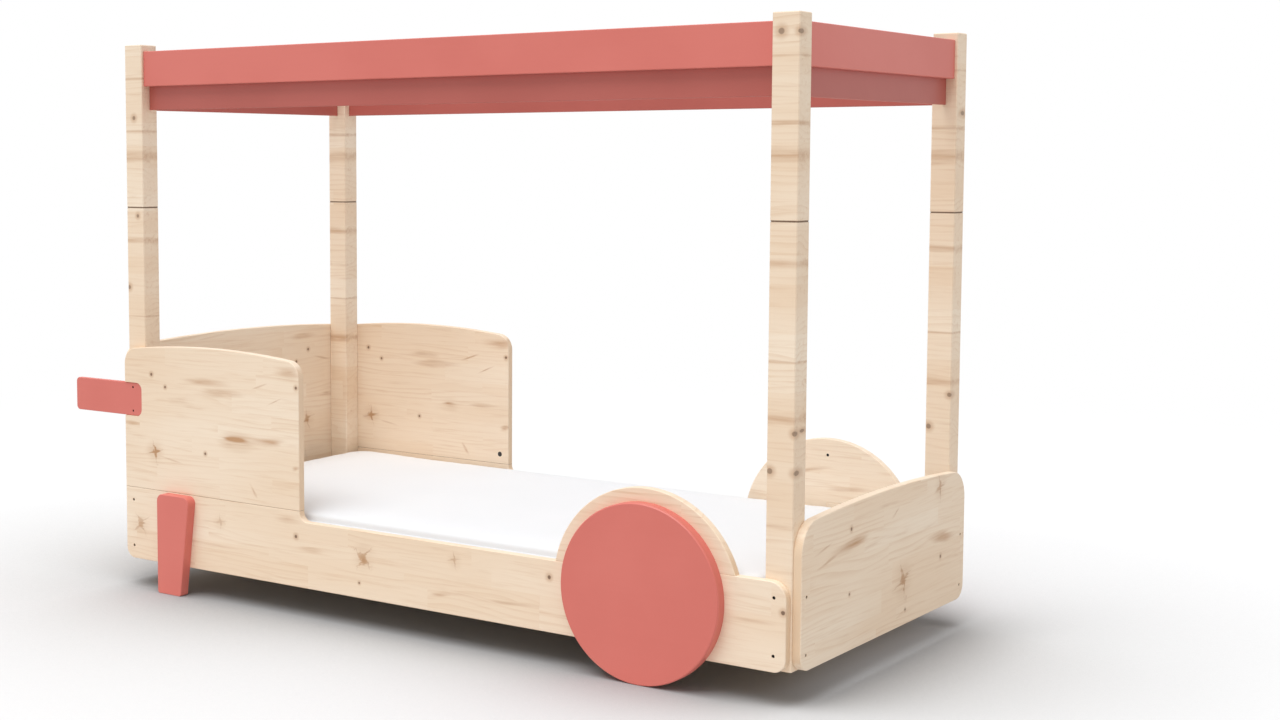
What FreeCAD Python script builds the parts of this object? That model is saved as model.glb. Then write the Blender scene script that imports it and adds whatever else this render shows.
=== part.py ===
import FreeCAD, Part
import math
import os

# A child's floor-level car bed of solid pine boards with a painted open canopy frame.
# X runs from the head of the bed (-) to its foot (+), Y from the near side (-) to the
# far side (+), and Z is up from the floor. The origin is on the floor, under the middle
# of the space that the whole bed takes up. Every size is in millimetres.

V = FreeCAD.Vector

# ---- mattress: the size that the whole bed is built round ----
mattress_length = 1900.0
mattress_width = 900.0
mattress_thickness = 120.0
mattress_corner_radius = 70.0
mattress_draw_in = 5.0      # how far each long side pulls in at its middle
mattress_edge_radius = 14.0     # rounding of the top edge
mattress_crown = 6.0        # rise of the top's middle over its border
mattress_crown_border = 112.0   # width over which the top climbs to its middle
mattress_proud = 2.0        # top's middle, above the raised ends of the rails
mattress_end_gap = 10.0     # to the posts, at each end
mattress_side_gap = 5.0     # to the rails, at each side
soft_gap = 0.3              # between the mattress and the slats

# ---- boards ----
board = 21.0                # rails, guards, arches, end panels and fascias
heavy_board = 28.0          # wheels and legs
edge_softening = 1.5        # bevel along the edges of every board
ground_gap = 77.0           # floor to the underside of rails, posts and end panels

# ---- side rails ----
rail_height = 173.0         # at the low middle stretch
rail_step_radius = 25.0     # hollow rounding at the foot of each step up to the raised ends
rail_step_upright = 2.0     # short upright above the hollow
rail_end_inset = 3.0        # rail end, short of the posts' outer faces
rail_bottom_radius = 30.0
rail_foot_top_radius = 41.0

# ---- head-end guards, one on each rail ----
guard_length = 646.0
guard_side_height = 384.0   # above the raised rail, at the guard's ends
guard_crown = 20.0          # further rise of the arched top at its middle
guard_corner_radius = 45.0

# ---- posts ----
post_along = 65.0           # section, along the bed
post_across = 57.0          # section, across the bed
lower_post_length = 976.0
upper_post_length = 444.0
post_edge_bevel = 2.0       # long edges, and both ends at the seam and the top

# ---- end panels ----
panel_side_inset = 3.5      # panel edge, short of the posts' outer faces
panel_crown = 17.0
head_panel_side_height = 588.0
head_panel_corner_radius = 45.0
foot_panel_side_height = 324.0
foot_panel_top_radius = 72.0
panel_bottom_radius = 38.0

# ---- wheels and fender arches ----
wheel_radius = 208.0
wheel_from_head = 1689.0    # wheel centre, from the head posts' outer faces
wheel_edge_bevel = 2.5
arch_radius = 245.5
arch_drop = 6.0             # arch centre, below the wheel centre

# ---- legs ----
leg_from_head = 152.0       # leg's upright edge, from the head posts' outer faces
leg_foot_width = 87.0
leg_top_width = 122.5
leg_top_gap = 2.5           # leg's top, below the rail's raised end
leg_top_radius = 20.0
leg_foot_radius = 8.0

# ---- handles at the head end ----
handle_reach = 198.0        # past the head posts' outer faces
handle_seat = 69.0          # length that lies in the guard
handle_height = 92.0
handle_bottom = 477.0       # above the floor
handle_thickness = 12.0
handle_recess = 15.0        # depth of the pocket in the guard
handle_clearance = 0.5      # between the handle and the pocket's wall
handle_outer_radius = 12.0
handle_inner_radius = 20.0

# ---- canopy ----
fascia_height = 95.0
fascia_top_inset = 18.0     # fascia's top edge, below the post tops
fascia_set_back = 7.0       # fascia's face, behind the posts' outer faces
liner_thickness = 9.0
liner_height = 120.0
liner_drop = 64.0           # liner's bottom edge, below the fascia's

# ---- bed base ----
slat_count = 12
slat_width = 90.0
slat_thickness = 18.0
slat_end_gap = 1.0          # between a slat's end and the rail
ledger_width = 27.0
ledger_height = 30.0
ledger_end_gap = 2.0        # between a ledger's end and the post
strap_width = 25.0
strap_thickness = 1.2
strap_inset = 20.0          # strap's edge, in from the ledger's inner face

# ---- fasteners ----
bar_sides = 8               # small round parts and holes are drawn with this many flats
head_sides = 10             # screw heads, cams and the holes that they sit in
hole_play = 0.1             # radial clearance round a shank, dowel or head
depth_play = 1.0            # free depth past a shank's or dowel's end
socket_share = 0.55         # hexagon socket's corner radius, as a share of its head's

frame_screw_radius = 3.0    # rails and end panels into the posts
frame_screw_grip = 24.0     # length inside the post
frame_screw_head_radius = 4.0
frame_screw_head_height = 5.0
frame_screw_recess = 2.5    # head, below the board's face
frame_screw_top = 241.5     # upper row, above the floor
frame_screw_bottom = 113.0  # lower row
frame_screw_third = 590.0   # third row, on the head panel alone

stout_screw_radius = 3.5    # rails into wheels and legs
stout_screw_grip = 18.0
stout_screw_head_radius = 6.0
stout_screw_head_height = 6.0
stout_screw_recess = 1.0
stout_screw_top = 222.0     # above the floor
stout_screw_bottom = 94.0   # lower one of each leg, just under the ledger
wheel_screw_spread = 90.0   # each side of the wheel centre

arch_screw_radius = 2.5     # arch into the wheel
arch_screw_grip = 18.0
arch_screw_head_radius = 4.0
arch_screw_head_height = 4.0
arch_screw_recess = 1.0
arch_screw_inset = 12.0     # below the wheel's top

handle_screw_radius = 2.0   # through the handle and the guard into the post
handle_screw_grip = 28.0
handle_screw_head_radius = 3.2
handle_screw_head_height = 3.0
handle_screw_recess = 1.5
handle_screw_inset = 13.0   # from the handle's upper and lower edges

dowel_radius = 4.0
dowel_length = 35.0
stud_radius = 5.0           # steel stud in each post seam
stud_length = 120.0
post_dowel_length = 60.0
post_dowel_spread = 18.0    # beside the stud

cam_radius = 7.5
cam_depth = 12.5
cam_offset = 29.0           # cam centre, from the joint that it pulls together
cam_bolt_radius = 3.0
cam_bolt_grip = 11.0
guard_cam_inset = 31.0      # from the guard's foot-side edge
canopy_cam_drop = 20.0      # below the fascia's top edge

# ---- places that follow from the sizes ----
frame_length = mattress_length + 2 * (mattress_end_gap + post_along)
frame_width = mattress_width + 2 * mattress_side_gap
overall_length = handle_reach + frame_length + board
head_x = handle_reach - overall_length / 2      # head posts' outer faces
foot_x = head_x + frame_length                  # foot posts' outer faces
side_y = -frame_width / 2                       # near posts' outer faces
rail_y = side_y - board                         # outer face of rail, guard and arch
head_post_x = head_x + post_along / 2
foot_post_x = foot_x - post_along / 2
post_y = side_y + post_across / 2
inner_head_x = head_x + post_along
inner_foot_x = foot_x - post_along
rail_top = ground_gap + rail_height             # low middle stretch of the rails
seam_z = rail_top + rail_step_radius + rail_step_upright    # raised ends of the rails
guard_head_x = head_x + rail_end_inset
guard_foot_x = guard_head_x + guard_length
leg_height = seam_z - leg_top_gap
wheel_x = head_x + wheel_from_head
arch_centre_z = wheel_radius - arch_drop
post_seam_z = ground_gap + lower_post_length
post_top_z = post_seam_z + upper_post_length
fascia_top_z = post_top_z - fascia_top_inset
fascia_bottom_z = fascia_top_z - fascia_height
liner_bottom_z = fascia_bottom_z - liner_drop
liner_top_z = liner_bottom_z + liner_height
fascia_y = side_y + fascia_set_back             # outer face of the near fascia
fascia_foot_x = foot_x - fascia_set_back
fascia_head_x = head_x + fascia_set_back
slat_z = seam_z + mattress_proud - mattress_thickness - soft_gap - slat_thickness
ledger_z = slat_z - ledger_height

ALONG = V(1, 0, 0)
ACROSS = V(0, 1, 0)
UP = V(0, 0, 1)

bores = []      # every drilled hole; each piece loses the ones that run into it
groups = {}     # fasteners of one kind, gathered under one name


def block(x, y, z):
    """Square-edged block between the two values of each of x, y and z."""
    size = [high - low for low, high in (x, y, z)]
    return Part.makeBox(*size, V(x[0], y[0], z[0]))


def bar(point, direction, radius, length, sides):
    """Straight bar with flat sides that starts at a point and runs one way."""
    points = []
    for corner in range(sides + 1):
        turn = 2 * math.pi * corner / sides
        points.append(V(radius * math.cos(turn), radius * math.sin(turn), 0))
    prism = Part.Face(Part.makePolygon(points)).extrude(UP * length)
    prism.Placement = FreeCAD.Placement(point, FreeCAD.Rotation(UP, direction))
    return prism


def plate(start, steps, thickness):
    """Board standing in the XZ plane, with its thickness from y = 0 towards +Y.

    Each step holds one (x, z) corner for a straight edge, or a point on the way and a
    corner for an arc.
    """
    edges = []
    here = V(start[0], 0, start[1])
    for step in steps:
        points = [V(x, 0, z) for x, z in step]
        if len(points) == 1:
            edges.append(Part.LineSegment(here, points[0]).toShape())
        else:
            edges.append(Part.Arc(here, *points).toShape())
        here = points[-1]
    return Part.Face(Part.Wire(edges)).extrude(ACROSS * thickness)


def round_corners(solid, corners):
    """Rounds the edges along Y that stand at the given (x, z, radius) corners."""
    for x, z, radius in corners:
        edges = [edge for edge in solid.Edges if runs_through(edge, x, z)]
        solid = solid.makeFillet(radius, edges)
    return solid


def runs_through(edge, x, z):
    """True for a straight edge along Y at (x, z)."""
    return all(math.hypot(v.X - x, v.Z - z) < 0.01 for v in edge.Vertexes)


def soften(solid, width=edge_softening, hidden_back=False):
    """Eases the outline of both broad faces of a plate that lies along the XZ plane.

    A back that lies hidden against another board, at the plate's high Y, stays square.
    """
    faces_y = [solid.BoundBox.YMin]
    if not hidden_back:
        faces_y.append(solid.BoundBox.YMax)
    edges = []
    for edge in solid.Edges:
        box = edge.BoundBox
        flat = box.YMax - box.YMin < 0.01
        if flat and any(abs(box.YMin - y) < 0.01 for y in faces_y):
            edges.append(edge)
    return solid.makeChamfer(width, edges)


def crowned(width, z_low, side_height, crown, thickness):
    """Board centred on x = 0 with straight sides and a top that arches up."""
    half = width / 2
    side_z = z_low + side_height
    top = [(0, side_z + crown), (half, side_z)]
    return plate((-half, z_low), [[(-half, side_z)], top, [(half, z_low)], [(-half, z_low)]], thickness)


def crowned_corners(width, z_low, side_height, top_radius, bottom_radius):
    """The four corners of a crowned board, with their radii."""
    half = width / 2
    side_z = z_low + side_height
    corners = [(-half, side_z, top_radius), (half, side_z, top_radius)]
    if bottom_radius:
        corners += [(-half, z_low, bottom_radius), (half, z_low, bottom_radius)]
    return corners


def moved(shape, x=0.0, y=0.0, z=0.0):
    """Copy of a shape, shifted."""
    copy = shape.copy()
    copy.translate(V(x, y, z))
    return copy


def mirrored(shape):
    """The same piece on the far side of the bed."""
    return shape.mirror(V(0, 0, 0), ACROSS)


def drilled(piece):
    """The piece with every hole that runs into it."""
    tools = [bore for bore in bores if bore.BoundBox.intersect(piece.BoundBox)]
    if not tools:
        return piece
    solids = piece.cut(tools).Solids
    return solids[0]


def save(name, shape):
    """Writes one piece, or one group of like pieces."""
    shape.exportStep(os.path.join("parts", name + ".step"))


def add(kind, solid):
    groups.setdefault(kind, []).append(solid)


# ---- fasteners: each adds its own solids and the holes that they need ----
def screw(kind, face, direction, cover, sizes):
    """Cap-head screw sunk in a board's face, through its cover, into the wood behind."""
    radius, grip, head_radius, head_height, recess = sizes
    sink = recess + head_height
    seat = face + direction * sink
    length = cover - sink + grip
    head = bar(seat - direction * head_height, direction, head_radius, head_height, head_sides)
    socket_depth = head_height / 2
    socket_foot = seat - direction * (head_height - socket_depth)
    socket = bar(socket_foot, direction * -1, head_radius * socket_share, socket_depth, 6)
    shank = bar(seat, direction, radius, length, bar_sides)
    add(kind, head.cut(socket).fuse(shank))
    bores.append(bar(face, direction, head_radius + hole_play, sink, head_sides))
    bores.append(bar(seat, direction, radius + hole_play, length + depth_play, bar_sides))


def dowel(kind, joint, direction, radius, length):
    """Peg or stud, half in each of the two pieces that meet at the joint."""
    start = joint - direction * (length / 2)
    add(kind, bar(start, direction, radius, length, bar_sides))
    start = joint - direction * (length / 2 + depth_play)
    bores.append(bar(start, direction, radius + hole_play, length + 2 * depth_play, bar_sides))


def cam_lock(joint, direction, face_way):
    """Cam in a board's inner face that draws a bolt, screwed in past the joint, tight.

    direction points from the joint into the board along its middle plane, and face_way
    from that plane out of the inner face.
    """
    mouth = joint + direction * cam_offset + face_way * (board / 2)
    inward = face_way * -1
    start = joint - direction * cam_bolt_grip
    length = cam_bolt_grip + cam_offset
    bore = bar(start, direction, cam_bolt_radius + hole_play, length + depth_play, bar_sides)
    add("cam_bolts", bar(start, direction, cam_bolt_radius, length, bar_sides))
    add("cam_locks", bar(mouth, inward, cam_radius, cam_depth, head_sides).cut(bore))
    bores.append(bar(mouth, inward, cam_radius + hole_play, cam_depth, head_sides))
    bores.append(bore)


frame_screw = (frame_screw_radius, frame_screw_grip, frame_screw_head_radius,
               frame_screw_head_height, frame_screw_recess)
stout_screw = (stout_screw_radius, stout_screw_grip, stout_screw_head_radius,
               stout_screw_head_height, stout_screw_recess)
arch_screw = (arch_screw_radius, arch_screw_grip, arch_screw_head_radius,
              arch_screw_head_height, arch_screw_recess)
handle_screw = (handle_screw_radius, handle_screw_grip, handle_screw_head_radius,
                handle_screw_head_height, handle_screw_recess)


def fasten_rail(side):
    """Screws of one rail into its two posts; side is -1 for the near rail, 1 for the far."""
    for x in (head_post_x, foot_post_x):
        for z in (frame_screw_bottom, frame_screw_top):
            screw("frame_screws", V(x, side * -rail_y, z), ACROSS * -side, board, frame_screw)


def fasten_panels(side):
    """Screws of both end panels into the posts of one side."""
    y = side * -post_y
    for z in (frame_screw_bottom, frame_screw_top, frame_screw_third):
        screw("frame_screws", V(head_x - board, y, z), ALONG, board, frame_screw)
    for z in (frame_screw_bottom, frame_screw_top):
        screw("frame_screws", V(foot_x + board, y, z), ALONG * -1, board, frame_screw)


def fasten_outriggers(side):
    """Screws from inside the bed: rail into wheel and leg, and arch into wheel."""
    inner = side * -side_y
    leg_x = head_x + leg_from_head + leg_foot_width / 2
    places = [(wheel_x + shift, stout_screw_top) for shift in (-wheel_screw_spread, wheel_screw_spread)]
    places += [(leg_x, stout_screw_top), (leg_x, stout_screw_bottom)]
    for x, z in places:
        screw("wheel_and_leg_screws", V(x, inner, z), ACROSS * side, board, stout_screw)
    arch_screw_z = 2 * wheel_radius - arch_screw_inset
    screw("arch_screws", V(wheel_x, inner, arch_screw_z), ACROSS * side, board, arch_screw)


def fasten_guard(side):
    """Dowels and a cam between guard and rail, and the screws through the handle."""
    middle_y = side * -(side_y - board / 2)
    cam_x = guard_foot_x - guard_cam_inset
    for x in (guard_head_x + guard_corner_radius, cam_x - 2 * cam_offset):
        dowel("board_dowels", V(x, middle_y, seam_z), UP, dowel_radius, dowel_length)
    cam_lock(V(cam_x, middle_y, seam_z), UP, ACROSS * -side)
    handle_top = handle_bottom + handle_height
    handle_sunk = handle_recess - handle_thickness
    for z in (handle_bottom + handle_screw_inset, handle_top - handle_screw_inset):
        face = V(head_post_x, side * -(rail_y + handle_sunk), z)
        screw("handle_screws", face, ACROSS * -side, board - handle_sunk, handle_screw)


def fasten_arch(side):
    """Dowels between the arch and the rail's lower and raised tops."""
    middle_y = side * -(side_y - board / 2)
    reach = arch_half_width(seam_z) - 2 * rail_step_radius
    for x, z in ((wheel_x - reach, rail_top), (wheel_x + reach, seam_z)):
        dowel("board_dowels", V(x, middle_y, z), UP, dowel_radius, dowel_length)


def arch_half_width(z):
    """Half the arch's width at a height."""
    return math.sqrt(arch_radius ** 2 - (z - arch_centre_z) ** 2)


def fasten_posts(side):
    """Stud and dowel in the seam halfway up both posts of one side."""
    for x, shift in ((head_post_x, post_dowel_spread), (foot_post_x, -post_dowel_spread)):
        seam = V(x, side * -post_y, post_seam_z)
        dowel("post_studs", seam, UP, stud_radius, stud_length)
        dowel("post_dowels", seam + ALONG * shift, UP, dowel_radius, post_dowel_length)


def fasten_canopy(side):
    """A cam and a dowel in each joint between the fascias and the two posts of one side."""
    cam_z = fascia_top_z - canopy_cam_drop
    dowel_z = fascia_bottom_z + canopy_cam_drop
    long_y = side * -(fascia_y + board / 2)
    end_y = side * -(side_y + post_across)
    joints = [
        (inner_head_x, long_y, ALONG, ACROSS * -side),
        (inner_foot_x, long_y, ALONG * -1, ACROSS * -side),
        (fascia_head_x + board / 2, end_y, ACROSS * -side, ALONG),
        (fascia_foot_x - board / 2, end_y, ACROSS * -side, ALONG * -1),
    ]
    for x, y, way, face_way in joints:
        cam_lock(V(x, y, cam_z), way, face_way)
        dowel("board_dowels", V(x, y, dowel_z), way, dowel_radius, dowel_length)


# ---- boards of one side, shaped on the near side with their outer face at rail_y ----
def step_arc(x, way):
    """Hollow quarter round from the raised rail top's end down to the low top."""
    centre_x = x + way * rail_step_radius
    centre_z = rail_top + rail_step_radius
    slant = rail_step_radius * math.sqrt(0.5)
    middle = (centre_x - way * slant, centre_z - slant)
    return (x, centre_z), middle, (centre_x, rail_top)


def near_rail():
    low_x = head_x + rail_end_inset
    high_x = foot_x - rail_end_inset
    guard_step = step_arc(guard_foot_x, 1)
    wheel_step = step_arc(wheel_x, -1)
    steps = [
        [(low_x, seam_z)],
        [(guard_foot_x, seam_z)],
        [guard_step[0]],
        list(guard_step[1:]),
        [wheel_step[2]],
        [wheel_step[1], wheel_step[0]],
        [(wheel_x, seam_z)],
        [(high_x, seam_z)],
        [(high_x, ground_gap)],
        [(low_x, ground_gap)],
    ]
    rail = plate((low_x, ground_gap), steps, board)
    corners = [(low_x, ground_gap, rail_bottom_radius), (high_x, ground_gap, rail_bottom_radius)]
    corners.append((high_x, seam_z, rail_foot_top_radius))
    return moved(soften(round_corners(rail, corners)), y=rail_y)


def near_guard():
    guard = crowned(guard_length, seam_z, guard_side_height, guard_crown, board)
    corners = crowned_corners(guard_length, seam_z, guard_side_height, guard_corner_radius, 0)
    guard = soften(round_corners(guard, corners))
    guard = moved(guard, x=guard_head_x + guard_length / 2, y=rail_y)
    return guard.cut(handle_pocket())


def handle_pocket():
    """Blind pocket in the guard's outer face, open at its head-side edge."""
    low_z = handle_bottom - handle_clearance
    high_z = handle_bottom + handle_height + handle_clearance
    high_x = head_x + handle_seat + handle_clearance
    pocket = block((head_x - board, high_x), (0, handle_recess), (low_z, high_z))
    radius = handle_inner_radius + handle_clearance
    return moved(round_corners(pocket, [(high_x, low_z, radius), (high_x, high_z, radius)]), y=rail_y)


def near_handle():
    low = (head_x - handle_reach, handle_bottom)
    high = (head_x + handle_seat, handle_bottom + handle_height)
    handle = block((low[0], high[0]), (0, handle_thickness), (low[1], high[1]))
    corners = [(low[0], low[1], handle_outer_radius), (low[0], high[1], handle_outer_radius)]
    corners += [(high[0], low[1], handle_inner_radius), (high[0], high[1], handle_inner_radius)]
    handle = soften(round_corners(handle, corners), hidden_back=True)
    return moved(handle, y=rail_y + handle_recess - handle_thickness)


def near_arch():
    """Fender arch, cut to sit on both levels of the rail's top."""
    left_x = wheel_x - arch_half_width(rail_top)
    right_x = wheel_x + arch_half_width(seam_z)
    crown = (wheel_x, arch_centre_z + arch_radius)
    step = step_arc(wheel_x, -1)
    steps = [
        [crown, (right_x, seam_z)],
        [(wheel_x, seam_z)],
        [step[0]],
        list(step[1:]),
        [(left_x, rail_top)],
    ]
    return moved(soften(plate((left_x, rail_top), steps, board)), y=rail_y)


def near_wheel():
    """Round board that stands on the floor on its rim."""
    wheel = Part.makeCylinder(wheel_radius, heavy_board, V(wheel_x, 0, wheel_radius), ACROSS)
    return moved(soften(wheel, wheel_edge_bevel, hidden_back=True), y=rail_y - heavy_board)


def near_leg():
    """Tapered leg: upright towards the head, slanting towards the foot of the bed."""
    x = head_x + leg_from_head
    top = x + leg_top_width
    steps = [[(x, leg_height)], [(top, leg_height)], [(x + leg_foot_width, 0)], [(x, 0)]]
    leg = plate((x, 0), steps, heavy_board)
    corners = [(x, leg_height, leg_top_radius), (top, leg_height, leg_top_radius)]
    corners += [(x, 0, leg_foot_radius), (x + leg_foot_width, 0, leg_foot_radius)]
    leg = soften(round_corners(leg, corners), hidden_back=True)
    return moved(leg, y=rail_y - heavy_board)


def end_panel(side_height, top_radius, face_x):
    """Crowned board across the bed, with its inner or outer face at face_x and above."""
    width = frame_width - 2 * panel_side_inset
    panel = crowned(width, ground_gap, side_height, panel_crown, board)
    corners = crowned_corners(width, ground_gap, side_height, top_radius, panel_bottom_radius)
    panel = soften(round_corners(panel, corners))
    panel.rotate(V(0, 0, 0), UP, 90)
    return moved(panel, x=face_x + board)


def near_post(x, low_z, high_z):
    """One half of a corner post, bevelled all round but for its foot."""
    spread_x = (x - post_along / 2, x + post_along / 2)
    post = block(spread_x, (side_y, side_y + post_across), (low_z, high_z))
    foot_z = ground_gap + 0.01
    edges = [edge for edge in post.Edges if edge.BoundBox.ZMax > foot_z]
    return post.makeChamfer(post_edge_bevel, edges)


def long_board(y, thickness, low_z, height):
    """Canopy board along the bed, between the posts of one side."""
    length = inner_foot_x - inner_head_x
    board_block = block((inner_head_x, inner_head_x + length), (0, thickness), (low_z, low_z + height))
    return moved(soften(board_block), y=y)


def cross_board(x, thickness, low_z, height):
    """Canopy board across the bed, between the posts of one end."""
    half = frame_width / 2 - post_across
    board_block = soften(block((-half, half), (0, thickness), (low_z, low_z + height)))
    board_block.rotate(V(0, 0, 0), UP, 90)
    return moved(board_block, x=x + thickness)


def near_ledger():
    spread_x = (inner_head_x + ledger_end_gap, inner_foot_x - ledger_end_gap)
    return block(spread_x, (side_y, side_y + ledger_width), (ledger_z, ledger_z + ledger_height))


def slat_places():
    """X of each slat's middle."""
    pitch = (inner_foot_x - inner_head_x) / slat_count
    return [inner_head_x + pitch * (index + 0.5) for index in range(slat_count)]


def near_strap():
    """Webbing that ties the slats together from below, just inside the ledger."""
    places = slat_places()
    spread_x = (places[0] - slat_width / 2, places[-1] + slat_width / 2)
    edge_y = side_y + ledger_width + strap_inset
    return block(spread_x, (edge_y, edge_y + strap_width), (slat_z - strap_thickness, slat_z))


def slat(x):
    """One slat, from rail to rail, with its long edges eased where the mattress lies."""
    half = frame_width / 2 - slat_end_gap
    spread_x = (x - slat_width / 2, x + slat_width / 2)
    piece = block(spread_x, (-half, half), (slat_z, slat_z + slat_thickness))
    long_edges = [edge for edge in piece.Edges if edge.BoundBox.YLength > 2 * slat_width]
    upper = [edge for edge in long_edges if edge.BoundBox.ZMin > slat_z]
    return piece.makeChamfer(edge_softening, upper)


def mattress_section(inset, z):
    """Outline of the mattress at one height: rounded corners, sides drawn in."""
    half_x = mattress_length / 2 - inset
    half_y = mattress_width / 2 - inset
    radius = mattress_corner_radius
    slant = radius * (1 - math.sqrt(0.5))
    middle_x = (inner_head_x + inner_foot_x) / 2
    corners = [(half_x, half_y, 1, 1), (-half_x, half_y, -1, 1)]
    corners += [(-half_x, -half_y, -1, -1), (half_x, -half_y, 1, -1)]
    arcs = []
    for x, y, way_x, way_y in corners:
        on_side = (x, y - way_y * radius)
        middle = (x - way_x * slant, y - way_y * slant)
        on_end = (x - way_x * radius, y)
        arcs.append([on_side, middle, on_end] if way_x == way_y else [on_end, middle, on_side])
    edges = []
    draws = [(0, -mattress_draw_in), (mattress_draw_in, 0), (0, mattress_draw_in), (-mattress_draw_in, 0)]
    for index, arc in enumerate(arcs):
        after = arcs[(index + 1) % 4][0]
        pull = draws[index]
        between = ((arc[2][0] + after[0]) / 2 + pull[0], (arc[2][1] + after[1]) / 2 + pull[1])
        for points in (arc, [arc[2], between, after]):
            edges.append(Part.Arc(*[V(middle_x + x, y, z) for x, y in points]).toShape())
    return Part.Wire(edges)


def mattress():
    """Crowned pad with a rounded top edge, lofted through its outlines from the base up."""
    low = slat_z + slat_thickness + soft_gap
    high = low + mattress_thickness
    border = high - mattress_crown
    bend = mattress_edge_radius
    halfway = bend * (1 - math.sqrt(0.5))
    wall = [(0.0, low), (0.0, border - bend)]
    levels = wall + [(halfway, border - halfway), (bend, border), (mattress_crown_border, high)]
    return Part.makeLoft([mattress_section(inset, z) for inset, z in levels], True, True)


os.makedirs("parts", exist_ok=True)

for side in (-1, 1):
    fasten_rail(side)
    fasten_panels(side)
    fasten_outriggers(side)
    fasten_guard(side)
    fasten_arch(side)
    fasten_posts(side)
    fasten_canopy(side)

near_pieces = {
    "side_rail": near_rail(),
    "guard_panel": near_guard(),
    "handle": near_handle(),
    "fender_arch": near_arch(),
    "wheel": near_wheel(),
    "leg": near_leg(),
    "head_lower_post": near_post(head_post_x, ground_gap, post_seam_z),
    "foot_lower_post": near_post(foot_post_x, ground_gap, post_seam_z),
    "head_upper_post": near_post(head_post_x, post_seam_z, post_top_z),
    "foot_upper_post": near_post(foot_post_x, post_seam_z, post_top_z),
    "canopy_fascia": long_board(fascia_y, board, fascia_bottom_z, fascia_height),
    "canopy_liner": long_board(fascia_y + board, liner_thickness, liner_bottom_z, liner_height),
    "ledger": near_ledger(),
    "slat_strap": near_strap(),
}
for name, piece in near_pieces.items():
    save("near_" + name, drilled(piece))
    save("far_" + name, drilled(mirrored(piece)))

save("head_panel", drilled(end_panel(head_panel_side_height, head_panel_corner_radius, head_x - board)))
save("foot_panel", drilled(end_panel(foot_panel_side_height, foot_panel_top_radius, foot_x)))

fascia_sizes = (fascia_bottom_z, fascia_height)
liner_sizes = (liner_bottom_z, liner_height)
head_liner_x = fascia_head_x + board
foot_liner_x = fascia_foot_x - board - liner_thickness
save("head_canopy_fascia", drilled(cross_board(fascia_head_x, board, *fascia_sizes)))
save("foot_canopy_fascia", drilled(cross_board(fascia_foot_x - board, board, *fascia_sizes)))
save("head_canopy_liner", drilled(cross_board(head_liner_x, liner_thickness, *liner_sizes)))
save("foot_canopy_liner", drilled(cross_board(foot_liner_x, liner_thickness, *liner_sizes)))

for index, x in enumerate(slat_places()):
    save("slat_%02d" % (index + 1), slat(x))

save("mattress", mattress())

for name, solids in groups.items():
    save(name, Part.makeCompound(solids))
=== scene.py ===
import math

import bmesh
import bpy
from mathutils import Euler, Matrix, Vector


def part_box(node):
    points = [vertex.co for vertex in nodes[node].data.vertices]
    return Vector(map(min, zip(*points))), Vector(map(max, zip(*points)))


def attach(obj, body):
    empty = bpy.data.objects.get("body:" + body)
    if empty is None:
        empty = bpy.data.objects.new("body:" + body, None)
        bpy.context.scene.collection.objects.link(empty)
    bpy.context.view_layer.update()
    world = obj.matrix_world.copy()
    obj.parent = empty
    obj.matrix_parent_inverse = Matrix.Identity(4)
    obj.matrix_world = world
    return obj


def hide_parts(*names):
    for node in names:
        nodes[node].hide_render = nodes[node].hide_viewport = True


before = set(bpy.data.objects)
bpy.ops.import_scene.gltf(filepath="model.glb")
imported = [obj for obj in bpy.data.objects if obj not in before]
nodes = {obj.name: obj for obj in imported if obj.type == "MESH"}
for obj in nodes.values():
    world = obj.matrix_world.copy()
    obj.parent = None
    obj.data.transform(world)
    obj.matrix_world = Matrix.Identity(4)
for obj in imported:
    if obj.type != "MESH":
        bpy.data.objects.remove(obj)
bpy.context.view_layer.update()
bpy.ops.object.select_all(action="DESELECT")


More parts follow.
